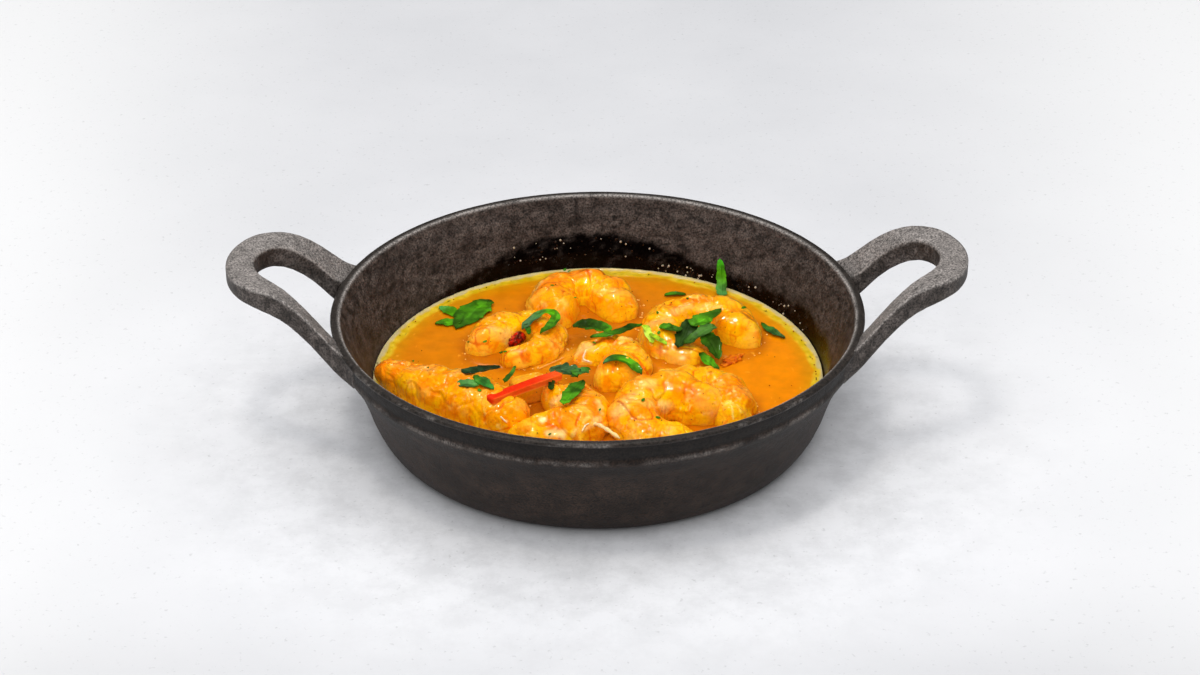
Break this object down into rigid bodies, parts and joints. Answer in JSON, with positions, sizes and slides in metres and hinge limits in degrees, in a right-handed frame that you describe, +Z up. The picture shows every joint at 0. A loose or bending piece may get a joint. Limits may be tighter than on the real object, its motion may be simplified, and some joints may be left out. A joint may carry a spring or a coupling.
{
  "type": "dish of chilli garlic prawns",
  "caption": "Curled prawns with coriander leaves and chilli strips in orange garlic sauce, served in a round cast-iron pan with a raised loop handle on each side",
  "frame": {"origin": "the middle of the pan's flat base, on the surface that it stands on", "axes": "+Z up; +X through the two handles towards the right-hand one as pictured; +Y away from the camera"},
  "size_m": [0.2748, 0.2, 0.0694],
  "materials": {
    "cast_iron": "seasoned black cast iron, dull, worn brighter on the edges",
    "sauce": "oily orange sauce, glossy, smooth",
    "prawn": "cooked peeled prawn coated in orange sauce, wet",
    "garlic": "cooked garlic slice, wet",
    "red_chilli": "fresh red chilli, glossy",
    "dried_chilli": "dark red chilli, glossy",
    "coriander": "fresh coriander leaf, satin",
    "coriander_stem": "pale green leaf stalk, satin"
  },
  "bodies": {
    "root": {"pan": "cast_iron", "sauce": "sauce", "prawn_back_centre": "prawn", "prawn_back_right": "prawn", "prawn_left": "prawn", "prawn_centre": "prawn", "prawn_front_left": "prawn", "prawn_front_centre": "prawn", "prawn_front_right": "prawn", "prawn_right_behind": "prawn", "garlic_slice": "garlic", "chilli_strip": "red_chilli", "chilli_curl": "dried_chilli", "chilli_flake": "dried_chilli", "leaf_stem": "coriander_stem", "leaf_afloat_left": "coriander", "leaf_afloat_right": "coriander", "leaf_sliver": "coriander", "leaf_at_wall": "coriander", "leaf_loop": "coriander", "leaf_pair_left": "coriander", "leaf_pair_right": "coriander", "leaf_crescent": "coriander", "leaf_cluster_left": "coriander", "leaf_cluster_dark": "coriander", "leaf_cluster_bright": "coriander", "leaf_cluster_veined": "coriander", "leaf_cluster_right": "coriander", "leaf_cluster_low": "coriander", "leaf_dark_left": "coriander", "leaf_pale_left": "coriander", "leaf_bright_left": "coriander", "leaf_sprig": "coriander", "leaf_jagged": "coriander", "leaf_low": "coriander", "leaf_chip": "coriander"}
  },
  "joints": []
}
